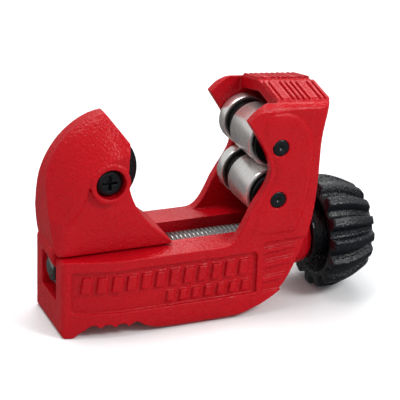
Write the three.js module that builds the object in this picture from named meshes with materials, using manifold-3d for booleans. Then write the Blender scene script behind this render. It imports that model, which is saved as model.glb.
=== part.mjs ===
// Compact hand tube cutter, in millimetres. X runs along the feed spindle towards the knob, Y across the
// tool, Z up. Drawn with x = 0 at the roller axes; the finished group is then centred along its length.
import * as THREE from "three";
import { mergeVertices } from "three/addons/utils/BufferGeometryUtils.js";
import Module from "manifold-3d";

const wasm = await Module();
wasm.setup();

// ---- Driving dimensions ----
const END_X = -47.5; // open end of the channel
const AXIS_Z = 12.9; // height of the spindle axis
const WALL_TOP = 17.6; // top of the two channel walls
const CHANNEL_HALF = 4.8;
const CHANNEL_FLOOR = 7.0;
const CHANNEL_END = 2.0;
const BODY_HALF = 11.9; // widest half width of the casting
const CHEEK_OUT = 11.1; // outer and inner faces of the two head cheeks
const CHEEK_IN = 9.4;
const PAD_HALF = 11.85; // raised pad round the roller pins
const PAD_EDGE = 0.75;
const HEAD_TOP = 50.0;
const ROOF_FALL = 0.076; // the cap falls this much per millimetre towards the knob
const PANEL_DEPTH = 0.8; // side panels and rib step below the outer faces
const RIB_DEPTH = 0.6;
const CAP_LEFT = -0.4;
const CAP_RIGHT = 12.9;

const ROLLER_R = 5.55;
const ROLLER_Z = [26.95, 38.8]; // lower and upper roller axes, both at x = 0
const PIN_R = 1.84;
const RUNNING_FIT = 0.06; // radial play of turning fits

const WHEEL_X = -36.6;
const WHEEL_Z = 33.5;
const WHEEL_R = 8.57;
const SLOT_HALF = 2.7;
const SLIDE_HALF = 8.1;
const SKIRT_Z = 18.0; // underside of the slide's skirts, above the channel walls
const FOOT_HALF = 4.65;
const SLIDE_BACK = -49.1; // rearmost point of the thumb rest
const REST_RIM = 1.3; // half width of the narrow rim of the thumb rest
const REST_SHRINK = 0.29; // how far the flanks have leaned in at the full half width
const REST_CENTRE = [-30.0, 18.0];
const AXLE_R = 1.75;
const RING_R = 4.35; // raised ring round the axle screw, and the counterbore in it
const RING_PROUD = 0.3;
const COUNTERBORE_R = 3.25;
const COUNTERBORE_DEPTH = 3;
const STEP_DEPTH = 0.8; // the lower cheek of the slide lies this much below the upper one

const PITCH = 1.0;
const THREAD_R = 4.0;
const THREAD_DEPTH = 0.6;
const SHANK_R = 3.3;

const BOSS_R = 6.3;
const BOSS_END = 11.8;
const KNOB_LEFT = 14.1;
const KNOB_RIGHT = 25.9;
const KNOB_R = 12.9;
const TOOTH_DEPTH = 1.5;
const KNOB_TEETH = 15;
const CUP_R = 9.3;
const HUB_R = 5.2;
const CROSS_PIN_R = 1.0;
const CROSS_PIN_X = 16.6;

// ---- Materials ----
const paint = (colour, roughness, metalness) =>
  new THREE.MeshStandardMaterial({ color: colour, roughness, metalness });
const redEnamel = () => paint(0xb81224, 0.42, 0.1);
const polishedSteel = () => paint(0xd9dadb, 0.18, 1.0);
const brightSteel = () => paint(0xa9abad, 0.3, 1.0);
const blackSteel = () => paint(0x17181b, 0.4, 0.8);
const blackPlastic = () => paint(0x1d1f23, 0.6, 0.0);

// ---- Solids ----
function solid(geometry) {
  const plain = geometry.index ? geometry.toNonIndexed() : geometry;
  plain.deleteAttribute("normal");
  plain.deleteAttribute("uv");
  const merged = mergeVertices(plain, 1e-4);
  return new wasm.Manifold(
    new wasm.Mesh({
      numProp: 3,
      vertProperties: merged.attributes.position.array,
      triVerts: new Uint32Array(merged.index.array),
    }),
  );
}

function geometryOf(body) {
  const mesh = body.getMesh();
  const geometry = new THREE.BufferGeometry();
  geometry.setAttribute("position", new THREE.BufferAttribute(mesh.vertProperties, 3));
  geometry.setIndex(new THREE.BufferAttribute(mesh.triVerts, 1));
  return geometry;
}

const unite = (bodies) => bodies.reduce((a, b) => a.add(b));
const intersectAll = (bodies) => bodies.reduce((a, b) => a.intersect(b));

function polygon(points) {
  return new THREE.Shape(points.map(([u, v]) => new THREE.Vector2(u, v)));
}

function extruded(shape, depth, curveSegments) {
  return new THREE.ExtrudeGeometry(shape, { depth, bevelEnabled: false, curveSegments });
}

// A shape drawn in X and Z, extruded across the tool from y0 to y1.
function across(shape, y0, y1, curveSegments = 8) {
  const geometry = extruded(shape, y1 - y0, curveSegments);
  return solid(geometry.rotateX(Math.PI / 2).translate(0, y1, 0));
}

// A shape drawn in X and Y, extruded upwards from z0 to z1.
function upright(shape, z0, z1, curveSegments = 8) {
  return solid(extruded(shape, z1 - z0, curveSegments).translate(0, 0, z0));
}

// A shape drawn in Y and Z, extruded along the tool from x0 to x1.
function along(shape, x0, x1, curveSegments = 8) {
  const turn = new THREE.Matrix4().set(0, 0, 1, 0, 1, 0, 0, 0, 0, 1, 0, 0, 0, 0, 0, 1);
  const geometry = extruded(shape, x1 - x0, curveSegments);
  return solid(geometry.applyMatrix4(turn).translate(x0, 0, 0));
}

function box(x0, x1, y0, y1, z0, z1) {
  const geometry = new THREE.BoxGeometry(x1 - x0, y1 - y0, z1 - z0);
  return solid(geometry.translate((x0 + x1) / 2, (y0 + y1) / 2, (z0 + z1) / 2));
}

// A turned solid: profile points are [radius, place on the axis]; axis is "x" or "y".
function turned(profile, axis, centre, segments = 48) {
  const points = profile.map(([r, t]) => new THREE.Vector2(r, t));
  const geometry = new THREE.LatheGeometry(points, segments);
  if (axis === "x") geometry.rotateZ(-Math.PI / 2);
  return solid(geometry.translate(...centre));
}

function rod(radius, t0, t1, axis, centre, segments = 32) {
  return turned([[0, t0], [radius, t0], [radius, t1], [0, t1]], axis, centre, segments);
}

// A solid carried through a matrix; a mirroring matrix also turns its faces round again.
function moved(body, matrix) {
  const geometry = geometryOf(body).applyMatrix4(matrix);
  if (matrix.determinant() < 0) geometry.index.array.reverse();
  return solid(geometry);
}

// Joins a solid with its mirror image on the other side of the middle plane.
function bothSides(body) {
  return body.add(moved(body, new THREE.Matrix4().makeScale(1, -1, 1)));
}

// ---- Body casting ----
function bodySideOutline() {
  const s = new THREE.Shape();
  s.moveTo(END_X, 1.3);
  s.quadraticCurveTo(END_X, 0, END_X + 1.2, 0);
  s.lineTo(-45.6, 0);
  s.quadraticCurveTo(-44.7, 0.1, -44.1, 1.1);
  s.lineTo(-42.6, 2.0);
  const scallop = 3.1; // four shallow finger grips under the channel
  for (let i = 0; i < 4; i++) {
    const x = -42.6 + i * scallop;
    s.quadraticCurveTo(x + scallop / 2, 3.9, x + scallop, 2.2);
  }
  s.bezierCurveTo(-28.6, 1.0, -26.4, 0.9, -22.0, 0);
  s.lineTo(-13.5, 0);
  s.bezierCurveTo(-8, 0.6, 0.2, 2.6, 3.0, 6.4);
  s.bezierCurveTo(5.6, 10.2, 8.4, 17.5, 9.1, 24.0);
  s.bezierCurveTo(9.6, 29.0, 9.8, 34.0, 9.8, 38.5);
  s.quadraticCurveTo(10.3, 43.5, CAP_RIGHT - 0.5, HEAD_TOP - 1.6);
  s.lineTo(CAP_RIGHT, HEAD_TOP + 0.5);
  s.lineTo(CAP_LEFT, HEAD_TOP + 0.5);
  s.lineTo(CAP_LEFT, 49.2);
  s.bezierCurveTo(-3.2, 48.7, -5.6, 47.2, -7.5, 45.0);
  s.bezierCurveTo(-4.6, 40.4, -2.0, 36.8, -1.9, 33.4);
  s.bezierCurveTo(-2.0, 30.6, -4.3, 28.6, -6.2, 24.8);
  s.bezierCurveTo(-7.8, 21.5, -9.0, 17.9, -11.9, WALL_TOP);
  s.lineTo(END_X + 0.7, WALL_TOP);
  s.lineTo(END_X, WALL_TOP - 0.7);
  return s;
}

// Seen from above: narrow at the open end, swelling to full width, then the flat head with a rounded end.
function bodyPlanOutline(inset) {
  const wide = BODY_HALF - inset;
  const cheek = CHEEK_OUT - inset;
  const end = 9.4 - inset;
  const s = new THREE.Shape();
  s.moveTo(END_X, end - 1.5);
  s.lineTo(END_X, -end + 1.5);
  s.quadraticCurveTo(END_X, -end, END_X + 1.6, -end);
  s.bezierCurveTo(-42, -end - 1.3, -38, -wide, -33, -wide);
  s.lineTo(-15, -wide);
  s.quadraticCurveTo(-8, -wide + 0.1, 2, -cheek - 0.1);
  s.lineTo(9.2, -cheek);
  s.quadraticCurveTo(11.2, -cheek, 12.0, -cheek + 1.9);
  s.lineTo(CAP_RIGHT + 1, -7.0);
  s.lineTo(CAP_RIGHT + 1, 7.0);
  s.lineTo(12.0, cheek - 1.9);
  s.quadraticCurveTo(11.2, cheek, 9.2, cheek);
  s.lineTo(2, cheek + 0.1);
  s.quadraticCurveTo(-8, wide - 0.1, -15, wide);
  s.lineTo(-33, wide);
  s.bezierCurveTo(-38, wide, -42, end + 1.3, END_X + 1.6, end);
  s.quadraticCurveTo(END_X, end, END_X, end - 1.5);
  return s;
}

// Cross-section of the head: straight cheeks, rounded shoulders and a shallow roof.
function roofSection(half, shoulder, edgeHalf, edge, crown) {
  const s = new THREE.Shape();
  s.moveTo(-half, -5);
  s.lineTo(half, -5);
  s.lineTo(half, shoulder);
  s.quadraticCurveTo(half, edge, edgeHalf, edge);
  s.lineTo(0, crown);
  s.lineTo(-edgeHalf, edge);
  s.quadraticCurveTo(-half, edge, -half, shoulder);
  return s;
}

// Shears a solid so that it falls towards the knob as the cap does.
function sloped(body) {
  return moved(body, new THREE.Matrix4().set(1, 0, 0, 0, 0, 1, 0, 0, -ROOF_FALL, 0, 1, 0, 0, 0, 0, 1));
}

function padOutline() {
  const s = new THREE.Shape();
  s.moveTo(-6.4, 18.9);
  s.lineTo(4.6, 18.9);
  s.bezierCurveTo(6.9, 23, 7.9, 29, 8.1, 36.0);
  s.bezierCurveTo(8.2, 43.5, 3.4, 46.6, -0.4, 46.6);
  s.bezierCurveTo(-4.2, 46.6, -5.0, 44.6, -4.0, 41.0);
  s.bezierCurveTo(-2.2, 37.5, -0.9, 35.5, -0.9, 33.3);
  s.bezierCurveTo(-1.0, 30.4, -3.5, 28.2, -5.1, 24.4);
  return s;
}

// The pads on both cheeks in one blank through the head, with a wide soft edge on the outer faces.
function raisedPad() {
  const edgeSlope = 1.4;
  const edge = {
    bevelEnabled: true, bevelSegments: 2, bevelThickness: PAD_EDGE,
    bevelSize: edgeSlope, bevelOffset: -edgeSlope,
  };
  const depth = 2 * (PAD_HALF - PAD_EDGE);
  const blank = new THREE.ExtrudeGeometry(padOutline(), { depth, curveSegments: 6, ...edge });
  const core = box(-20, 20, -CHEEK_IN - 0.5, CHEEK_IN + 0.5, 0, 60);
  return solid(blank.rotateX(Math.PI / 2).translate(0, depth / 2, 0)).subtract(core);
}

function gripRidges() {
  const count = 10;
  const step = (CAP_RIGHT - CAP_LEFT - 0.5) / count;
  const section = polygon([[1.2, 45], [9.9, 45], [9.9, 46.4], [9.5, 48.0], [8.8, 49.0], [1.2, 50.5]]);
  const ridges = [];
  for (let i = 0; i < count; i++) {
    const x = CAP_LEFT + 0.2 + i * step;
    ridges.push(along(section, x, x + 0.6 * step));
  }
  const silhouette = across(bodySideOutline(), -BODY_HALF, BODY_HALF, 7);
  return bothSides(sloped(unite(ridges)).intersect(silhouette));
}

// Raised bars on the side panels, in two rows.
function panelBars() {
  const bar = (x0, x1, z0, z1, lean) =>
    across(polygon([[x0, z0], [x1, z0], [x1 + lean, z1], [x0 + lean, z1]]), -BODY_HALF, BODY_HALF);
  const bars = [];
  for (let i = 0; i < 12; i++) bars.push(bar(-43.6 + i * 3.2, -41.6 + i * 3.2, 10.4, 13.9, 0.4));
  for (let i = 0; i < 7; i++) bars.push(bar(-25.0 + i * 2.9, -23.4 + i * 2.9, 6.7, 9.0, 0.3));
  return unite(bars);
}

// Three fairing ribs that run from the panels towards the knob.
function fairingRibs() {
  const rib = (x1, z0, z1, rise) =>
    across(polygon([[-2.7, z0], [x1, z0 + rise], [x1 + 0.4, z1 + rise], [-2.7, z1]]), -BODY_HALF, BODY_HALF);
  return unite([rib(5.2, 14.5, 15.6, 0.5), rib(4.6, 11.0, 12.6, 0.5), rib(2.6, 7.6, 8.9, 0.3)]);
}

function roundedPanel(x0, x1, z0, z1, r) {
  const s = new THREE.Shape();
  s.moveTo(x0 + r, z0);
  s.lineTo(x1, z0);
  s.lineTo(x1, z1 - r);
  s.quadraticCurveTo(x1, z1, x1 - r, z1);
  s.lineTo(x0 + r, z1);
  s.quadraticCurveTo(x0, z1, x0, z1 - r);
  s.lineTo(x0, z0 + r);
  s.quadraticCurveTo(x0, z0, x0 + r, z0);
  return s;
}

function bodyBlank() {
  const bottomSection = polygon([
    [-BODY_HALF + 1.3, 0], [BODY_HALF - 1.3, 0], [BODY_HALF - 0.3, 1.0], [BODY_HALF, 2.4],
    [BODY_HALF, 55], [-BODY_HALF, 55], [-BODY_HALF, 2.4], [-BODY_HALF + 0.3, 1.0],
  ]);
  return intersectAll([
    across(bodySideOutline(), -BODY_HALF, BODY_HALF, 7),
    upright(bodyPlanOutline(0), -1, 60, 6),
    along(bottomSection, END_X - 1, 20),
    sloped(along(roofSection(BODY_HALF, 44.0, 8.8, 48.3, HEAD_TOP), END_X - 1, 20, 5)),
  ]);
}

// What is cut from both outer faces: the side panels and the step that carries the fairing ribs.
function sideRecesses() {
  const panels = across(roundedPanel(-45.6, -4.0, 5.6, 15.4, 1.4), -BODY_HALF, BODY_HALF)
    .subtract(upright(bodyPlanOutline(PANEL_DEPTH), 0, 20, 6));
  const bars = panelBars().intersect(upright(bodyPlanOutline(0.15), 0, 20, 6));
  const ribFloor = polygon([[-2.6, 5.4], [3.2, 5.4], [6.8, 12], [8.4, 17.2], [-2.6, 17.2]]);
  const steps = across(ribFloor, -BODY_HALF, BODY_HALF)
    .subtract(upright(bodyPlanOutline(RIB_DEPTH), 0, 20, 6))
    .subtract(fairingRibs());
  return panels.subtract(bars).add(steps);
}

// The space between the cheeks, under the cap, that holds the rollers and takes the closing slide.
function headCavity() {
  const side = polygon([[-25, WALL_TOP], [CHANNEL_END + 1.5, WALL_TOP], [6.6, 24], [7.5, 30],
    [7.6, 38], [8.2, 43], [9.5, 52], [-25, 52]]);
  return across(side, -CHEEK_IN, CHEEK_IN)
    .intersect(sloped(along(roofSection(CHEEK_IN, 44.7, 7.4, 46.0, 47.6), -26, 12, 4)))
    .add(box(-26, CAP_LEFT, -CHEEK_IN, CHEEK_IN, ROLLER_Z[0], HEAD_TOP + 2));
}

function makeBody() {
  const boss = turned(
    [[0, 0], [9.5, 0], [9.3, 3.4], [8.2, 6.0], [BOSS_R + 0.4, 8.4], [BOSS_R, BOSS_END - 1.2],
      [BOSS_R - 0.8, BOSS_END], [0, BOSS_END]],
    "x", [0, 0, AXIS_Z], 36,
  );
  const pad = raisedPad();
  const channel = box(END_X - 5, CHANNEL_END, -CHANNEL_HALF, CHANNEL_HALF, CHANNEL_FLOOR, WALL_TOP + 1);
  const bore = rod(SHANK_R + RUNNING_FIT, -5, 15, "x", [0, 0, AXIS_Z], 32);
  const pinHoles = ROLLER_Z.map((z) => rod(PIN_R + 0.05, -14, 14, "y", [0, 0, z], 24));
  const casting = unite([bodyBlank().add(boss).subtract(sideRecesses()), pad, gripRidges()]);
  return [headCavity(), channel, bore, ...pinHoles].reduce((a, cut) => a.subtract(cut), casting);
}

// ---- Slide casting ----
function slideOutline() {
  const s = new THREE.Shape();
  s.moveTo(-47.6, SKIRT_Z);
  s.bezierCurveTo(-48.7, 20.4, -49.1, 26.0, SLIDE_BACK, 31.4);
  s.bezierCurveTo(SLIDE_BACK, 36.7, -46.9, 40.3, -43.8, 43.2);
  s.bezierCurveTo(-41.6, 45.2, -38.8, 46.6, -35.9, 47.0);
  s.lineTo(-32.0, 41.5);
  s.quadraticCurveTo(-33.2, 36.5, -32.1, 31.6);
  s.bezierCurveTo(-31.0, 27.0, -28.6, 23.6, -22.6, SKIRT_Z + 1.0);
  s.lineTo(-22.2, SKIRT_Z);
  return s;
}

// The thumb rest is crowned: seen end on, its rim is narrow and its flanks lean in towards it. The blank
// is an oversize plate whose outline shrinks towards a low centre as it leaves the mid-plane.
function restBlank() {
  const s = new THREE.Shape();
  s.moveTo(0, 60);
  s.bezierCurveTo(-30, 50.5, -33, 47.6, -35.9, 47.1);
  s.bezierCurveTo(-39.4, 46.8, -41.7, 45.2, -44.0, 43.3);
  s.bezierCurveTo(-47.1, 40.5, -49.2, 36.6, -51.0, 30);
  s.lineTo(-56, 14);
  s.lineTo(-56, -10);
  s.lineTo(0, -10);
  const half = SLIDE_HALF + 0.2;
  const settings = { depth: 2 * half, steps: 12, curveSegments: 7, bevelEnabled: false };
  const plate = new THREE.ExtrudeGeometry(s, settings).rotateX(Math.PI / 2).translate(0, half, 0);
  const points = plate.getAttribute("position");
  const p = new THREE.Vector3();
  for (let i = 0; i < points.count; i++) {
    p.fromBufferAttribute(points, i);
    const out = Math.max(0, Math.abs(p.y) - REST_RIM) / (half - REST_RIM);
    const keep = 1 - REST_SHRINK * out ** 1.3;
    const x = REST_CENTRE[0] + (p.x - REST_CENTRE[0]) * keep;
    const z = REST_CENTRE[1] + (p.z - REST_CENTRE[1]) * keep;
    points.setXYZ(i, x, p.y, z);
  }
  return solid(plate);
}

function slidePlanOutline() {
  const s = new THREE.Shape();
  s.moveTo(-49.9, -2.6);
  s.bezierCurveTo(-49.4, -6.0, -46.8, -SLIDE_HALF, -41.0, -SLIDE_HALF);
  s.lineTo(-21, -SLIDE_HALF);
  s.lineTo(-21, SLIDE_HALF);
  s.lineTo(-41.0, SLIDE_HALF);
  s.bezierCurveTo(-46.8, SLIDE_HALF, -49.4, 6.0, -49.9, 2.6);
  return s;
}

// The flat cheek beside the thumb rest, bounded by a sweeping step and cut a little deeper.
function cheekStep() {
  const s = new THREE.Shape();
  s.moveTo(-20, 16);
  s.lineTo(-20, WHEEL_Z + 1.8);
  s.lineTo(WHEEL_X, WHEEL_Z + 2.6);
  s.lineTo(-40.0, WHEEL_Z + 3.4);
  s.bezierCurveTo(-41.3, 34.4, -41.2, 31.4, -43.0, 28.4);
  s.bezierCurveTo(-44.5, 26.0, -46.4, 24.6, -49.5, 23.4);
  s.lineTo(-52, 23.0);
  s.lineTo(-52, 16);
  return across(s, -SLIDE_HALF - 1, -SLIDE_HALF + STEP_DEPTH, 6);
}

function makeSlide() {
  const upper = intersectAll([
    across(slideOutline(), -SLIDE_HALF, SLIDE_HALF, 9),
    upright(slidePlanOutline(), 10, 60, 7),
    restBlank(),
  ]);
  const steps = bothSides(cheekStep());
  const footOutline = polygon([[-48.3, SKIRT_Z + 1.5], [-48.6, 17.2], [-48.1, 15.6], [-47.2, 14.6],
    [-46.2, 13.6], [-45.3, 7.4], [-24.4, 7.4], [-23.6, 8.2], [-23.0, SKIRT_Z + 1]]);
  const foot = across(footOutline, -FOOT_HALF, FOOT_HALF);
  const ringHalf = SLIDE_HALF + RING_PROUD;
  const ring = rod(RING_R, -ringHalf, ringHalf, "y", [WHEEL_X, 0, WHEEL_Z], 40);
  const slot = rod(WHEEL_R + 0.6, -SLOT_HALF, SLOT_HALF, "y", [WHEEL_X, 0, WHEEL_Z], 40)
    .add(box(WHEEL_X, -20, -SLOT_HALF, SLOT_HALF, WHEEL_Z - 7, WHEEL_Z + WHEEL_R + 0.4));
  const bore = rod(THREAD_R + 0.09, -60, -10, "x", [0, 0, AXIS_Z], 28);
  const seat = -SLIDE_HALF + COUNTERBORE_DEPTH;
  const counterbore = rod(COUNTERBORE_R, -SLIDE_HALF - 2, seat, "y", [WHEEL_X, 0, WHEEL_Z], 36);
  const axleHole = rod(AXLE_R + 0.05, -SLIDE_HALF - 2, SLIDE_HALF + 2, "y", [WHEEL_X, 0, WHEEL_Z], 24);
  return upper.subtract(steps).add(foot).add(ring).subtract(slot).subtract(bore)
    .subtract(counterbore).subtract(axleHole);
}

// ---- Cutting wheel and its axle screw ----
function makeWheel() {
  return turned(
    [[AXLE_R + RUNNING_FIT, -2.4], [4.2, -2.4], [4.6, -2.0], [4.6, -1.1], [7.0, -0.8], [WHEEL_R, 0],
      [7.0, 0.8], [4.6, 1.1], [4.6, 2.0], [4.2, 2.4],
      [AXLE_R + RUNNING_FIT, 2.4], [AXLE_R + RUNNING_FIT, -2.4]],
    "y", [WHEEL_X, 0, WHEEL_Z], 56,
  );
}

function makeAxleScrew() {
  const headTop = -SLIDE_HALF + 0.75;
  const body = turned(
    [[0, headTop], [2.2, headTop], [2.85, headTop + 0.45], [2.85, headTop + 1.1], [2.4, headTop + 1.9],
      [AXLE_R, headTop + 2.15], [AXLE_R, SLIDE_HALF - 0.9],
      [AXLE_R - 0.4, SLIDE_HALF - 0.5], [0, SLIDE_HALF - 0.5]],
    "y", [WHEEL_X, 0, WHEEL_Z], 36,
  );
  const arm = (dx, dz) =>
    box(WHEEL_X - dx, WHEEL_X + dx, headTop - 1, headTop + 1.3, WHEEL_Z - dz, WHEEL_Z + dz);
  return body.subtract(arm(1.6, 0.35).add(arm(0.35, 1.6)));
}

// ---- Guide rollers and pins ----
function makeRoller(z) {
  const bore = PIN_R + RUNNING_FIT;
  const r = ROLLER_R;
  const profile = [
    [bore, -9.2], [4.5, -9.2], [4.75, -9.0], [4.75, -8.4], [4.45, -8.2], [4.45, -7.3],
    [r - 0.25, -7.3], [r, -7.05],
    [r, 2.75], [r - 0.25, 2.96], [r - 0.9, 2.96], [r - 0.9, 6.34], [r - 0.25, 6.34], [r, 6.55], [r, 8.95],
    [r - 0.3, 9.2], [bore, 9.2], [bore, -9.2],
  ];
  return turned(profile, "y", [0, 0, z], 44);
}

function makePin(z) {
  const end = PAD_HALF - 0.15;
  return turned(
    [[0, -end + 0.45], [0.35, -end + 0.25], [0.6, -end], [PIN_R - 0.2, -end], [PIN_R, -end + 0.2],
      [PIN_R, end - 0.2], [PIN_R - 0.2, end], [0, end]],
    "y", [0, 0, z], 28,
  );
}

// ---- Feed spindle ----
// A right-hand V thread as one winding skin of crest and root lines, cut square at both ends by the caller.
function threadBlank(x0, x1) {
  const segments = 14;
  const rows = Math.round((2 * (x1 - x0)) / PITCH);
  const positions = [];
  const index = [];
  const point = (k, j) => (j === segments ? (k + 2) * segments : k * segments + j);
  for (let k = 0; k <= rows; k++) {
    const r = k % 2 ? THREAD_R : THREAD_R - THREAD_DEPTH;
    for (let j = 0; j < segments; j++) {
      const angle = (2 * Math.PI * j) / segments;
      const x = x0 + (k / 2 + j / segments) * PITCH;
      positions.push(x, r * Math.cos(angle), AXIS_Z + r * Math.sin(angle));
    }
  }
  for (let k = 0; k < rows; k++) {
    for (let j = 0; j < segments; j++) {
      if (point(k + 1, j + 1) >= (rows + 1) * segments) continue;
      const [a, b, c, d] = [point(k, j), point(k + 1, j), point(k + 1, j + 1), point(k, j + 1)];
      index.push(a, c, b, a, d, c);
    }
  }
  return { positions, index, segments, rows };
}

// Closes the open winding ends with fans to two points on the axis.
function threadSolid(x0, x1) {
  const { positions, index, segments, rows } = threadBlank(x0, x1);
  const edges = new Map();
  for (let i = 0; i < index.length; i += 3) {
    for (let e = 0; e < 3; e++) {
      const a = index[i + e];
      const b = index[i + ((e + 1) % 3)];
      if (!edges.delete(`${b},${a}`)) edges.set(`${a},${b}`, [a, b]);
    }
  }
  const near = positions.length / 3;
  positions.push(x0 - 1, 0, AXIS_Z, x1 + PITCH + 1, 0, AXIS_Z);
  const half = (rows * segments) / 2;
  for (const [a, b] of edges.values()) index.push(b, a, a < half ? near : near + 1);
  const geometry = new THREE.BufferGeometry();
  geometry.setAttribute("position", new THREE.Float32BufferAttribute(positions, 3));
  geometry.setIndex(index);
  return solid(geometry);
}

function makeSpindle() {
  const threadStart = -45.6;
  const threadEnd = CHANNEL_END - 1.2;
  const thread = threadSolid(threadStart - 3, threadEnd + 3)
    .intersect(rod(THREAD_R + 1, threadStart, threadEnd, "x", [0, 0, AXIS_Z], 24));
  const core = turned(
    [[0, -47.5], [1.7, -47.5], [1.95, -47.2], [1.95, -45.8], [2.9, -45.7],
      [2.9, threadEnd - 1], [SHANK_R, threadEnd - 1],
      [SHANK_R, 23.6], [SHANK_R - 0.6, 24.2], [0, 24.2]],
    "x", [0, 0, AXIS_Z], 28,
  );
  const crossHole = rod(CROSS_PIN_R + 0.04, -8, 8, "y", [CROSS_PIN_X, 0, AXIS_Z], 20);
  return thread.add(core).subtract(crossHole);
}

const makeEndWasher = () =>
  turned([[2.1, -46.35], [3.6, -46.35], [3.75, -46.2], [3.75, -45.95], [2.1, -45.95], [2.1, -46.35]],
    "x", [0, 0, AXIS_Z], 36);

// A spring clip with an open mouth, snapped on the end of the spindle.
function makeEndClip() {
  const ringOutline = [[2.0, -47.05], [3.0, -47.05], [3.0, -46.5], [2.0, -46.5], [2.0, -47.05]];
  const ring = turned(ringOutline, "x", [0, 0, AXIS_Z], 36);
  return ring.subtract(box(-48, -46, 1.2, 5, AXIS_Z - 1.1, AXIS_Z + 1.1));
}

const makeThrustWasher = () =>
  turned([[SHANK_R + 0.15, BOSS_END + 0.15], [6.6, BOSS_END + 0.15], [6.6, BOSS_END + 0.75],
    [SHANK_R + 0.15, BOSS_END + 0.75], [SHANK_R + 0.15, BOSS_END + 0.15]], "x", [0, 0, AXIS_Z], 36);

// ---- Knob ----
function knobToothOutline() {
  const points = [];
  const perTooth = 6;
  for (let i = 0; i < KNOB_TEETH * perTooth; i++) {
    const phase = i / perTooth;
    const wave = Math.cos(2 * Math.PI * phase);
    const r = KNOB_R - (TOOTH_DEPTH / 2) * (1 - Math.max(-1, Math.min(1, 1.5 * wave)));
    const angle = (2 * Math.PI * phase) / KNOB_TEETH - Math.PI / 2;
    points.push([r * Math.cos(angle), r * Math.sin(angle)]);
  }
  return polygon(points);
}

function makeKnob() {
  const teeth = moved(
    along(knobToothOutline(), KNOB_LEFT, KNOB_RIGHT),
    new THREE.Matrix4().makeTranslation(0, 0, AXIS_Z),
  );
  const barrel = turned(
    [[0, KNOB_LEFT], [KNOB_R - 0.35, KNOB_LEFT], [KNOB_R, KNOB_LEFT + 0.5], [KNOB_R, 17.3],
      [KNOB_R - 0.6, 20.0],
      [KNOB_R - 1.6, 22.7], [KNOB_R - 2.7, 24.8], [KNOB_R - 3.3, 25.5],
      [KNOB_R - 3.9, KNOB_RIGHT], [0, KNOB_RIGHT]],
    "x", [0, 0, AXIS_Z], 60,
  );
  const cup = turned(
    [[HUB_R, KNOB_LEFT - 1], [CUP_R, KNOB_LEFT - 1], [CUP_R, KNOB_LEFT + 0.2], [CUP_R - 0.6, 21.2],
      [HUB_R + 0.4, 21.6],
      [HUB_R, KNOB_LEFT - 1]],
    "x", [0, 0, AXIS_Z], 44,
  );
  const hub = rod(HUB_R, BOSS_END + 0.9, KNOB_LEFT + 2, "x", [0, 0, AXIS_Z], 40);
  const socket = rod(SHANK_R + 0.04, BOSS_END, 24.4, "x", [0, 0, AXIS_Z], 28);
  const crossHole = rod(CROSS_PIN_R + 0.04, -8, 8, "y", [CROSS_PIN_X, 0, AXIS_Z], 20);
  const dishOutline = [[0, 25.3], [6.2, 25.5], [7.0, KNOB_RIGHT + 0.5], [0, KNOB_RIGHT + 0.5]];
  const dish = turned(dishOutline, "x", [0, 0, AXIS_Z], 40);
  return teeth.intersect(barrel).subtract(cup).add(hub).subtract(socket).subtract(crossHole).subtract(dish);
}

const makeCrossPin = () =>
  rod(CROSS_PIN_R, -HUB_R + 0.2, HUB_R - 0.2, "y", [CROSS_PIN_X, 0, AXIS_Z], 20)
    .subtract(rod(0.5, -HUB_R, HUB_R, "y", [CROSS_PIN_X, 0, AXIS_Z], 12));

// ---- Assembly ----
function part(name, body, material) {
  const mesh = new THREE.Mesh(geometryOf(body), material);
  mesh.name = name;
  return mesh;
}

function group(...children) {
  const g = new THREE.Group();
  g.add(...children);
  return g;
}

const frame = group(
  part("body", makeBody(), redEnamel()),
  part("roller_pin_lower", makePin(ROLLER_Z[0]), blackSteel()),
  part("roller_pin_upper", makePin(ROLLER_Z[1]), blackSteel()),
);
const rollers = group(
  part("guide_roller_lower", makeRoller(ROLLER_Z[0]), polishedSteel()),
  part("guide_roller_upper", makeRoller(ROLLER_Z[1]), polishedSteel()),
);
const jaw = group(
  part("slide", makeSlide(), redEnamel()),
  part("cutting_wheel", makeWheel(), blackSteel()),
  part("wheel_axle_screw", makeAxleScrew(), blackSteel()),
);
const feed = group(
  part("spindle", makeSpindle(), brightSteel()),
  part("spindle_end_washer", makeEndWasher(), polishedSteel()),
  part("spindle_end_clip", makeEndClip(), polishedSteel()),
  part("thrust_washer", makeThrustWasher(), brightSteel()),
  part("knob", makeKnob(), blackPlastic()),
  part("knob_cross_pin", makeCrossPin(), brightSteel()),
);

// The frame's origin is under the middle of the tool's length.
const tool = group(frame, rollers, jaw, feed);
tool.position.x = -(SLIDE_BACK + KNOB_RIGHT) / 2;
tool.updateMatrixWorld(true);

export default tool;
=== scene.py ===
import math

import bmesh
import bpy
from mathutils import Matrix, Vector


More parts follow.
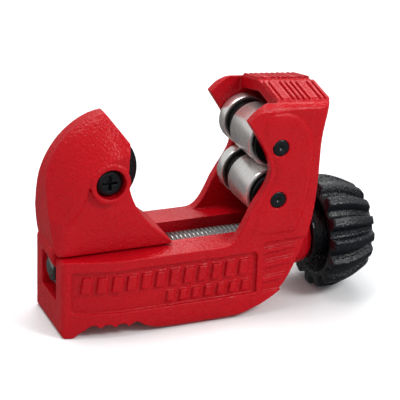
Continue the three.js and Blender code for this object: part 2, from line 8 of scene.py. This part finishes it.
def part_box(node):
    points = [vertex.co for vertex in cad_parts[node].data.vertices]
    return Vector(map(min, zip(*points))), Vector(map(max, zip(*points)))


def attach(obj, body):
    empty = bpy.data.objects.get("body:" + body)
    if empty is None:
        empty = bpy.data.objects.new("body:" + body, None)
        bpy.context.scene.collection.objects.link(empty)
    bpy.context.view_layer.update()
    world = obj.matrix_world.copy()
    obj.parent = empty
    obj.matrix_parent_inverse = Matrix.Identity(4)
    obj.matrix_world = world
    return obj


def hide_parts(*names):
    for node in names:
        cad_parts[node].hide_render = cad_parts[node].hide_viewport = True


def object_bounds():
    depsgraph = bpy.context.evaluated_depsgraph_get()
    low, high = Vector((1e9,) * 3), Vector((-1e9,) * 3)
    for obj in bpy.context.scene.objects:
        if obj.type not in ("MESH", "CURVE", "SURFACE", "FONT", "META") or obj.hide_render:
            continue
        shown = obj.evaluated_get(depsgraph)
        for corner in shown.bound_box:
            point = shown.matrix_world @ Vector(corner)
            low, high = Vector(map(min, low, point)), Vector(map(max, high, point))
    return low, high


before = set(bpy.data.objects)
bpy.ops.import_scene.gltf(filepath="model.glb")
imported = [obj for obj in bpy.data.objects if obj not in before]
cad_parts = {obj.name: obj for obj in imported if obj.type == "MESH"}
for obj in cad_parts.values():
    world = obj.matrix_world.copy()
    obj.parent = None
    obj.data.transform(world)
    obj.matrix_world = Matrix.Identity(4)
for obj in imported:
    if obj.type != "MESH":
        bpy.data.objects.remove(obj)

MM = 0.001
cad_box = [list(corner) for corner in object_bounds()]


# ---- Frame casting ----
# The C-shaped frame is one zinc die casting under thick red enamel. Every edge is rounded by the
# casting draft and the enamel, and the surface keeps the fine orange peel of sprayed paint.
CASTING_CELL = 0.2  # mm between points of the frame's surface
CASTING_ROUNDS = 2  # passes of smoothing over the points
MOST_TRIANGLES = 180000  # kept below the limit for one piece
MERGE_MM = 0.0005
ENAMEL_DEEP = (0.35, 0.0010, 0.005, 1.0)
ENAMEL_BRIGHT = (0.47, 0.0018, 0.008, 1.0)


def show(piece):
    bpy.context.scene.collection.objects.link(piece)
    return piece


def softened(node, name, cell, rounds):
    """A copy of a CAD node with its edges rounded over, from cells of the given size in millimetres."""
    shape = bmesh.new()
    shape.from_mesh(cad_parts[node].data)
    bmesh.ops.scale(shape, vec=(1 / MM,) * 3, verts=shape.verts)
    bmesh.ops.remove_doubles(shape, verts=shape.verts, dist=MERGE_MM)
    sharp_mesh = bpy.data.meshes.new(name + "_sharp")
    shape.to_mesh(sharp_mesh)
    shape.free()
    sharp = show(bpy.data.objects.new(name + "_sharp", sharp_mesh))
    cells = sharp.modifiers.new("cells", "REMESH")
    cells.mode = "VOXEL"
    cells.voxel_size = cell
    rounding = sharp.modifiers.new("rounding", "SMOOTH")
    rounding.factor = 0.5
    rounding.iterations = rounds
    evaluated = sharp.evaluated_get(bpy.context.evaluated_depsgraph_get())
    faces = len(evaluated.data.polygons)
    if 2 * faces > MOST_TRIANGLES:
        thinning = sharp.modifiers.new("thinning", "DECIMATE")
        thinning.ratio = MOST_TRIANGLES / (2 * faces)
        evaluated = sharp.evaluated_get(bpy.context.evaluated_depsgraph_get())
    mesh = bpy.data.meshes.new_from_object(evaluated)
    bpy.data.objects.remove(sharp)
    mesh.transform(Matrix.Scale(MM, 4))
    mesh.name = name
    mesh.shade_smooth()
    return show(bpy.data.objects.new(name, mesh))


class Field:
    """A shader socket that can be used in Python arithmetic."""

    def __init__(self, tree, socket):
        self.tree = tree
        self.socket = socket

    def node(self, kind, settings, sockets, output=0):
        made = self.tree.nodes.new(kind)
        for key, value in settings.items():
            setattr(made, key, value)
        for key, value in sockets.items():
            if isinstance(value, Field):
                self.tree.links.new(value.socket, made.inputs[key])
            else:
                made.inputs[key].default_value = value
        return Field(self.tree, made.outputs[output])

    def maths(self, operation, first, second=0.0):
        return self.node("ShaderNodeMath", {"operation": operation}, {0: first, 1: second})

    def __add__(self, other):
        return self.maths("ADD", self, other)

    def __sub__(self, other):
        return self.maths("SUBTRACT", self, other)

    def __rsub__(self, other):
        return self.maths("SUBTRACT", other, self)

    def __mul__(self, other):
        return self.maths("MULTIPLY", self, other)

    __radd__ = __add__
    __rmul__ = __mul__

    def noise(self, scale, detail=2.0):
        return self.node("ShaderNodeTexNoise", {}, {"Vector": self, "Scale": scale, "Detail": detail})

    def mix(self, low, high):
        return self.node("ShaderNodeMix", {"data_type": "RGBA"}, {0: self, 6: low, 7: high}, 2)

    def step(self, low, high):
        sockets = {"Value": self, "From Min": low, "From Max": high}
        return self.node("ShaderNodeMapRange", {"interpolation_type": "SMOOTHSTEP"}, sockets)

    def part(self, letter):
        return self.node("ShaderNodeSeparateXYZ", {}, {0: self}, "XYZ".index(letter))

    def bump(self, strength, distance):
        return self.node("ShaderNodeBump", {}, {"Height": self, "Strength": strength, "Distance": distance})


def new_finish(name, **fixed):
    """A material with its constant sockets set, its shader and a field of Object coordinates."""
    material = bpy.data.materials.new(name)
    material.use_nodes = True
    tree = material.node_tree
    shader = tree.nodes["Principled BSDF"]
    for key, value in fixed.items():
        shader.inputs[key.replace("_", " ").title().replace("Ior", "IOR")].default_value = value
    place = Field(tree, tree.nodes.new("ShaderNodeTexCoord").outputs["Object"])
    return material, shader, place


def feed(shader, name, field):
    """Links a varying field to one of the shader's inputs."""
    field.tree.links.new(field.socket, shader.inputs[name])


def red_enamel():
    material, shader, place = new_finish("red_enamel", specular_ior_level=0.2)
    cloud = place.noise(90.0, 3.0)
    feed(shader, "Base Color", cloud.mix(ENAMEL_DEEP, ENAMEL_BRIGHT))
    feed(shader, "Roughness", 0.24 + 0.12 * place.noise(400.0))
    peel = 0.7 * place.noise(1500.0, 1.0) + 0.3 * place.noise(3400.0, 1.0)
    feed(shader, "Normal", peel.bump(0.7, 0.0004))
    return material


def finish(piece, material, body, node):
    """Gives a piece its look, and tells the frame which body carries it and which node it replaces."""
    piece.data.materials.clear()
    piece.data.materials.append(material)
    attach(piece, body)
    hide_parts(node)


enamel = red_enamel()
casting = softened("body", "frame_casting", CASTING_CELL, CASTING_ROUNDS)
finish(casting, enamel, "frame", "body")


# ---- Slide ----
# The slide is a second casting in the same enamel. Its crowned thumb rest stands over the channel, a
# slot holds the cutting wheel, and the threaded foot below runs on the feed spindle.
SLIDE_CELL = 0.18
SLIDE_ROUNDS = 9

slide = softened("slide", "slide_casting", SLIDE_CELL, SLIDE_ROUNDS)
finish(slide, enamel, "jaw", "slide")


# ---- Guide rollers ----
# Two hardened rollers carry the tube. Each is turned and polished, with one deep groove near its end
# that lets a flared tube end be trimmed, and the groove and the near hub are blackened.
ROLLER_STEPS = 96
ROLLER_BORE = 1.9
HUB_R = 4.8
HUB_NECK = 4.45
ROLLER_END = 9.2  # this and the next three are places in mm from the roller's middle
HUB_END = -7.35
GROOVE_FROM = 2.96
GROOVE_TO = 6.34
GROOVE_DEPTH = 0.95
COLOUR_EDGE = 0.03  # mm over which the blackening fades out
POLISHED = (0.96, 0.94, 0.91, 1.0)
BLACKENED = (0.006, 0.0065, 0.008, 1.0)
ROUND_THE_AXIS = (0.02, 1.0, 0.02)  # stretches the grain into rings round the roller


def turned(shape, profile, centre, axis, steps):
    """Spins an outline of (radius, distance along the axis), in millimetres, about a line."""
    along = Vector((1, 0, 0)) if axis == "X" else Vector((0, 1, 0))
    outwards = Vector((0, 0, 1))
    points = [shape.verts.new(centre + (along * t + outwards * r) * MM) for r, t in profile]
    edges = [shape.edges.new(pair) for pair in zip(points, points[1:])]
    bmesh.ops.spin(shape, geom=points + edges, cent=centre, axis=along, angle=2 * math.pi,
                   steps=steps, use_merge=True, use_normal_flip=False, use_duplicate=False)
    bmesh.ops.remove_doubles(shape, verts=shape.verts, dist=1e-7)
    bmesh.ops.recalc_face_normals(shape, faces=shape.faces)


def piece_of(shape, name, sharp_degrees=30.0):
    mesh = bpy.data.meshes.new(name)
    shape.to_mesh(mesh)
    shape.free()
    mesh.shade_smooth()
    mesh.set_sharp_from_angle(angle=math.radians(sharp_degrees))
    return show(bpy.data.objects.new(name, mesh))


def centre_of(node):
    low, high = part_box(node)
    return (low + high) / 2


def polished_steel():
    material, shader, place = new_finish("polished_steel", metallic=0.88)
    along = place.part("Y") * (1 / MM)

    def beyond(edge):
        return along.step(edge - COLOUR_EDGE, edge + COLOUR_EDGE)

    groove = beyond(GROOVE_FROM) - beyond(GROOVE_TO)
    hub = 1 - beyond(HUB_END + COLOUR_EDGE)
    stretch = {"operation": "MULTIPLY"}
    rings = place.node("ShaderNodeVectorMath", stretch, {0: place, 1: ROUND_THE_AXIS}).noise(9000.0, 2.0)
    feed(shader, "Base Color", (groove + hub).mix(POLISHED, BLACKENED))
    feed(shader, "Roughness", 0.24 + 0.08 * rings)
    feed(shader, "Normal", rings.bump(0.08, 0.00003))
    return material


roller_steel = polished_steel()
for level, body in (("lower", "roller_low"), ("upper", "roller_high")):
    node = "guide_roller_" + level
    low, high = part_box(node)
    radius = (high.z - low.z) / 2 / MM
    floor_r = radius - GROOVE_DEPTH
    hub = [
        (ROLLER_BORE, -ROLLER_END), (HUB_NECK, -ROLLER_END), (HUB_R - 0.1, -ROLLER_END + 0.1),
        (HUB_R, -ROLLER_END + 0.25), (HUB_R, -ROLLER_END + 0.75), (HUB_R - 0.1, -ROLLER_END + 0.9),
        (HUB_NECK, -ROLLER_END + 1.0), (HUB_NECK, HUB_END),
    ]
    barrel = [(radius - 0.35, HUB_END + 0.05), (radius - 0.12, HUB_END + 0.15), (radius, HUB_END + 0.35)]
    groove = [
        (radius, GROOVE_FROM - 0.26), (radius - 0.1, GROOVE_FROM - 0.08), (radius - 0.3, GROOVE_FROM),
        (floor_r, GROOVE_FROM + 0.02), (floor_r, GROOVE_TO - 0.02), (radius - 0.3, GROOVE_TO),
        (radius - 0.1, GROOVE_TO + 0.08), (radius, GROOVE_TO + 0.26),
    ]
    far_end = [
        (radius, ROLLER_END - 0.3), (radius - 0.1, ROLLER_END - 0.1), (radius - 0.35, ROLLER_END),
        (ROLLER_BORE, ROLLER_END), (ROLLER_BORE, -ROLLER_END),
    ]
    outline = hub + barrel + groove + far_end
    blank = bmesh.new()
    turned(blank, outline, centre_of(node), "Y", ROLLER_STEPS)
    finish(piece_of(blank, "roller_" + level), roller_steel, body, node)


# ---- Roller pins ----
# The pins are blackened steel rods pressed through both cheeks. Each shows a lathe centre in its end
# and a narrow rolled edge.
PIN_STEPS = 48
PIN_EDGE = 0.3
CENTRE_DEPTH = 0.55
CENTRE_R = 0.8
OXIDE_DARK = (0.010, 0.011, 0.013, 1.0)
OXIDE_LIGHT = (0.030, 0.032, 0.036, 1.0)


def black_steel():
    material, shader, place = new_finish("black_steel", metallic=0.6)
    cloud = place.noise(900.0, 3.0)
    feed(shader, "Base Color", cloud.mix(OXIDE_DARK, OXIDE_LIGHT))
    feed(shader, "Roughness", 0.16 + 0.14 * place.noise(1800.0))
    feed(shader, "Normal", place.noise(3000.0).bump(0.12, 0.00005))
    return material


oxide = black_steel()
for level in ("lower", "upper"):
    node = "roller_pin_" + level
    low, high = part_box(node)
    end = (high.y - low.y) / 2 / MM
    radius = (high.z - low.z) / 2 / MM
    near_end = [
        (0.0, -end + CENTRE_DEPTH), (0.3, -end + 0.3), (0.62, -end + 0.02), (CENTRE_R, -end),
        (radius - PIN_EDGE, -end), (radius - 0.1, -end + 0.08), (radius, -end + 0.25),
    ]
    outline = near_end + [(r, -t) for r, t in reversed(near_end)]
    rod = bmesh.new()
    turned(rod, outline, centre_of(node), "Y", PIN_STEPS)
    finish(piece_of(rod, "pin_" + level, 50.0), oxide, "frame", node)


# ---- Cutting wheel and its axle screw ----
# The wheel is a thin disc of blackened tool steel ground to a knife edge, with a hub on each side. It
# turns on a cross-recess screw that sits in the counterbore of the slide.
WHEEL_STEPS = 128
WHEEL_HUB = 4.6
WHEEL_BORE = 1.82
SCREW_CELL = 0.085
SMALL_ROUNDS = 2

wheel_low, wheel_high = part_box("cutting_wheel")
wheel_radius = (wheel_high.z - wheel_low.z) / 2 / MM
wheel_half = (wheel_high.y - wheel_low.y) / 2 / MM
half_outline = [
    (WHEEL_BORE, -wheel_half), (WHEEL_HUB - 0.3, -wheel_half), (WHEEL_HUB - 0.08, -wheel_half + 0.1),
    (WHEEL_HUB, -wheel_half + 0.3), (WHEEL_HUB, -1.2), (WHEEL_HUB + 0.15, -1.08), (7.0, -0.82),
    (wheel_radius, 0.0),
]
outline = half_outline + [(r, -t) for r, t in reversed(half_outline[:-1])] + [half_outline[0]]
disc = bmesh.new()
turned(disc, outline, centre_of("cutting_wheel"), "Y", WHEEL_STEPS)
finish(piece_of(disc, "wheel"), oxide, "wheel", "cutting_wheel")

screw = softened("wheel_axle_screw", "axle_screw", SCREW_CELL, SMALL_ROUNDS)
finish(screw, oxide, "jaw", "wheel_axle_screw")


# ---- Feed spindle ----
# The spindle is bright rolled steel: a right-hand thread of 1 mm pitch along the channel, a plain
# shank through the boss and the knob, and a thin neck at the free end for its washer and clip.
PITCH = 1.0
THREAD_R = 4.0
THREAD_DEPTH = 0.55
SHANK_R = 3.3
NECK_R = 1.95
NECK_LENGTH = 1.9
THREAD_TURNS = 46
THREAD_STEPS = 40
CORE_STEPS = 48
STEEL_DARK = (0.20, 0.20, 0.20, 1.0)
STEEL_LIGHT = (0.38, 0.38, 0.37, 1.0)


def bright_steel():
    material, shader, place = new_finish("bright_steel", metallic=1.0)
    cloud = place.noise(1200.0, 4.0)
    feed(shader, "Base Color", cloud.mix(STEEL_DARK, STEEL_LIGHT))
    feed(shader, "Roughness", 0.26 + 0.14 * place.noise(2500.0))
    feed(shader, "Normal", place.noise(4000.0).bump(0.08, 0.00003))
    return material


bright = bright_steel()
spindle_low, spindle_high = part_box("spindle")
axis_point = Vector((0.0, 0.0, centre_of("spindle").z))
tip = spindle_low.x / MM
shank_end = spindle_high.x / MM
thread_from = tip + NECK_LENGTH
thread_end = thread_from + THREAD_TURNS * PITCH
root_r = THREAD_R - THREAD_DEPTH
core_r = root_r + 0.02  # a hair over the root, so that the core closes the thread
flank = [
    (root_r, 0.0), (root_r, 0.12), (THREAD_R - 0.04, 0.44), (THREAD_R, 0.5), (THREAD_R - 0.04, 0.56),
    (root_r, 0.88), (root_r, 1.0),
]
worm = bmesh.new()
start = Vector((thread_from * MM, 0.0, axis_point.z))
flank_points = [worm.verts.new(start + Vector((t * PITCH, 0.0, r)) * MM) for r, t in flank]
flank_edges = [worm.edges.new(pair) for pair in zip(flank_points, flank_points[1:])]
bmesh.ops.spin(worm, geom=flank_points + flank_edges, cent=axis_point, axis=(1, 0, 0),
               dvec=(PITCH * MM / THREAD_STEPS, 0, 0), angle=2 * math.pi * THREAD_TURNS,
               steps=THREAD_STEPS * THREAD_TURNS, use_merge=False, use_normal_flip=False,
               use_duplicate=False)
bmesh.ops.remove_doubles(worm, verts=worm.verts, dist=2e-6)
bmesh.ops.recalc_face_normals(worm, faces=worm.faces)
neck = [
    (0.0, tip), (NECK_R - 0.3, tip), (NECK_R, tip + 0.3), (NECK_R, thread_from - 0.2),
    (root_r, thread_from - 0.1), (core_r, thread_from + 1.6), (0.0, thread_from + 1.7),
]
shank = [
    (0.0, thread_end - 1.0), (core_r, thread_end - 0.9), (core_r, thread_end + 1.0),
    (SHANK_R, thread_end + 1.1), (SHANK_R, shank_end - 0.5), (SHANK_R - 0.5, shank_end), (0.0, shank_end),
]
turned(worm, neck, axis_point, "X", CORE_STEPS)
turned(worm, shank, axis_point, "X", CORE_STEPS)
finish(piece_of(worm, "feed_screw", 50.0), bright, "feed", "spindle")


# ---- Washers, clip and cross pin ----
# A washer and a spring clip hold the free end of the spindle, a larger washer takes the thrust
# between the boss and the knob, and a hollow pin fixes the knob on the shank.
SMALL_PARTS = (
    ("spindle_end_washer", "end_washer", 0.09, "bright_steel"),
    ("spindle_end_clip", "end_clip", 0.07, "black_steel"),
    ("thrust_washer", "boss_washer", 0.1, "black_steel"),
    ("knob_cross_pin", "cross_pin", 0.08, "bright_steel"),
)
metals = {"bright_steel": bright, "black_steel": oxide}
for node, name, cell, slot in SMALL_PARTS:
    finish(softened(node, name, cell, SMALL_ROUNDS), metals[slot], "feed", node)


# ---- Knob ----
# The knob is one moulding of black glass-filled plastic with a fine sparked grain. Deep rounded teeth
# run its whole length, the side facing the frame is hollowed round a hub, and the outer end is dished.
TEETH = 15
TOOTH_DEPTH = 2.0
STEPS_PER_TOOTH = 14
KNOB_HUB_R = 5.2
CUP_R = 9.3
FIRST_TOOTH = math.pi / 2
VALLEY_WIDTH = 0.42
VALLEY_STEEPNESS = 1.2
NEAR_MM = 0.01
RIM_AHEAD = 1.4  # how far the toothed rim starts beyond the hub's face
SHANK_FIT = 0.04
PLASTIC_DARK = (0.0015, 0.002, 0.004, 1.0)
PLASTIC_LIGHT = (0.003, 0.004, 0.007, 1.0)


def black_plastic():
    material, shader, place = new_finish("black_plastic", specular_ior_level=0.45)
    cloud = place.noise(700.0, 3.0)
    feed(shader, "Base Color", cloud.mix(PLASTIC_DARK, PLASTIC_LIGHT))
    feed(shader, "Roughness", 0.18 + 0.16 * place.noise(1500.0))
    grain = 0.7 * place.noise(1900.0, 2.0) + 0.3 * place.noise(4200.0, 1.0)
    feed(shader, "Normal", grain.bump(0.9, 0.00035))
    return material


plastic = black_plastic()
knob_low, knob_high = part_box("knob")
knob_r = (knob_high.z - knob_low.z) / 2 / MM
hub_x = knob_low.x / MM
left = hub_x + RIM_AHEAD
right = knob_high.x / MM
bore_r = SHANK_R + SHANK_FIT
# Each point is (radius, distance along the axis, share of the tooth depth cut there).
rim = [
    (CUP_R + 0.5, left, 0.0), (knob_r - 0.7, left, 0.8), (knob_r - 0.25, left + 0.12, 1.0),
    (knob_r - 0.05, left + 0.4, 1.0), (knob_r, left + 0.8, 1.0), (knob_r, left + 2.0, 1.0),
    (knob_r, left + 3.4, 1.0),
]
taper = [
    (knob_r - 0.25, left + 4.7, 1.0), (knob_r - 0.6, left + 5.9, 1.0), (knob_r - 1.1, left + 7.3, 1.0),
    (knob_r - 1.7, left + 8.6, 1.0), (knob_r - 2.3, left + 9.8, 1.0), (knob_r - 2.8, left + 10.8, 1.0),
    (knob_r - 3.2, left + 11.3, 0.9), (knob_r - 3.7, right - 0.12, 0.7), (knob_r - 4.3, right, 0.35),
]
dish = [
    (knob_r - 5.2, right, 0.0), (7.0, right - 0.05, 0.0), (6.6, right - 0.3, 0.0),
    (6.2, right - 0.45, 0.0), (3.0, right - 0.6, 0.0), (0.0, right - 0.65, 0.0),
]
cup = [
    (bore_r, hub_x + 8.0, 0.0), (bore_r, hub_x + 0.2, 0.0), (SHANK_R + 0.25, hub_x, 0.0),
    (KNOB_HUB_R - 0.25, hub_x, 0.0), (KNOB_HUB_R, hub_x + 0.25, 0.0),
    (KNOB_HUB_R + 0.1, left + 3.0, 0.0), (KNOB_HUB_R + 0.35, left + 7.0, 0.0),
    (CUP_R - 0.9, left + 7.0, 0.0), (CUP_R - 0.55, left + 6.6, 0.0),
    (CUP_R - 0.05, left + 0.35, 0.0), (CUP_R + 0.15, left + 0.1, 0.0),
]
profile = cup + rim + taper + dish


def share_at(reach, along):
    """The share of the tooth depth at the profile point that a place on the spun surface came from."""
    near = [share for r, t, share in profile if abs(r - reach) < NEAR_MM and abs(t - along) < NEAR_MM]
    return max(near, default=0.0)


moulding = bmesh.new()
turned(moulding, [(r, t) for r, t, share in profile], axis_point, "X", TEETH * STEPS_PER_TOOTH)
for vertex in moulding.verts:
    arm = Vector((0.0, vertex.co.y, vertex.co.z - axis_point.z))
    share = share_at(arm.length / MM, vertex.co.x / MM)
    if share == 0.0:
        continue
    wave = math.cos(TEETH * (math.atan2(arm.z, arm.y) + FIRST_TOOTH))
    valley = min(1.0, max(0.0, VALLEY_WIDTH - VALLEY_STEEPNESS * wave))
    depth = TOOTH_DEPTH * share * valley * valley * (3 - 2 * valley)
    vertex.co -= arm.normalized() * depth * MM
finish(piece_of(moulding, "hand_knob", 60.0), plastic, "feed", "knob")


# ---- Floor, light and camera ----
# The tool stands on a plain pale sheet. Three soft lights reach it, one from behind, one from above
# and one from the front right, and the surround is pale above the horizon and grey below it.
FLOOR_HALF = 2.5
FLOOR_COLOUR = (0.82, 0.83, 0.835, 1.0)
FLOOR_SHADE = (0.81, 0.82, 0.827, 1.0)
SURROUND_BELOW = (0.22, 0.22, 0.22, 1.0)
SURROUND_ABOVE = (0.98, 0.99, 1.0, 1.0)
middle = (Vector(cad_box[0]) + Vector(cad_box[1])) / 2


def pale_sheet():
    material, shader, place = new_finish("pale_sheet", roughness=0.9)
    feed(shader, "Base Color", place.noise(30.0).mix(FLOOR_COLOUR, FLOOR_SHADE))
    return material


sheet = bmesh.new()
bmesh.ops.create_grid(sheet, x_segments=1, y_segments=1, size=FLOOR_HALF)
floor = piece_of(sheet, "floor")
floor.data.materials.append(pale_sheet())
floor.visible_glossy = False


def soft_light(name, place, size, watts):
    """A rectangular light aimed at the tool. Its place and size are in metres."""
    lamp = bpy.data.lights.new(name, "AREA")
    lamp.shape = "RECTANGLE"
    lamp.size = size[0]
    lamp.size_y = size[1]
    lamp.energy = watts
    lamp_object = show(bpy.data.objects.new(name, lamp))
    aim = (middle - Vector(place)).to_track_quat("-Z", "Y").to_matrix().to_4x4()
    lamp_object.matrix_world = Matrix.Translation(place) @ aim


soft_light("back_light", (0.24, 0.40, 0.44), (0.38, 0.20), 1.4)
soft_light("top_light", (-0.12, 0.06, 0.58), (0.30, 0.30), 2.2)
soft_light("right_light", (0.30, -0.34, 0.42), (0.20, 0.16), 2.2)

bpy.context.scene.view_settings.view_transform = "Standard"
world = bpy.data.worlds.new("surround")
bpy.context.scene.world = world
world.use_nodes = True
sky = world.node_tree.nodes["Background"]
sky.inputs["Strength"].default_value = 0.56
looking = world.node_tree.nodes.new("ShaderNodeTexCoord").outputs["Generated"]
height = Field(world.node_tree, looking).part("Z")
feed(sky, "Color", height.step(-0.12, 0.12).mix(SURROUND_BELOW, SURROUND_ABOVE))

AZIMUTH = math.radians(-23.24)
ELEVATION = math.radians(22.65)
ROLL = math.radians(2.21)
CAMERA_PLACE = (-132.42, -304.74, 162.36)  # in millimetres, for a lens of 148.9 mm
camera_data = bpy.data.cameras.new("camera")
camera_data.lens = 148.9
camera_data.sensor_width = 36.0
camera_data.clip_start = 0.01
camera = show(bpy.data.objects.new("camera", camera_data))
flat = math.cos(ELEVATION)
back = Vector((math.sin(AZIMUTH) * flat, -math.cos(AZIMUTH) * flat, math.sin(ELEVATION)))
level_right = Vector((math.cos(AZIMUTH), math.sin(AZIMUTH), 0.0))
level_up = back.cross(level_right)
right_axis = level_right * math.cos(ROLL) + level_up * math.sin(ROLL)
up_axis = back.cross(right_axis)
turn = Matrix((right_axis, up_axis, back)).transposed().to_4x4()
camera.matrix_world = Matrix.Translation(Vector(CAMERA_PLACE) * MM) @ turn
bpy.context.scene.camera = camera
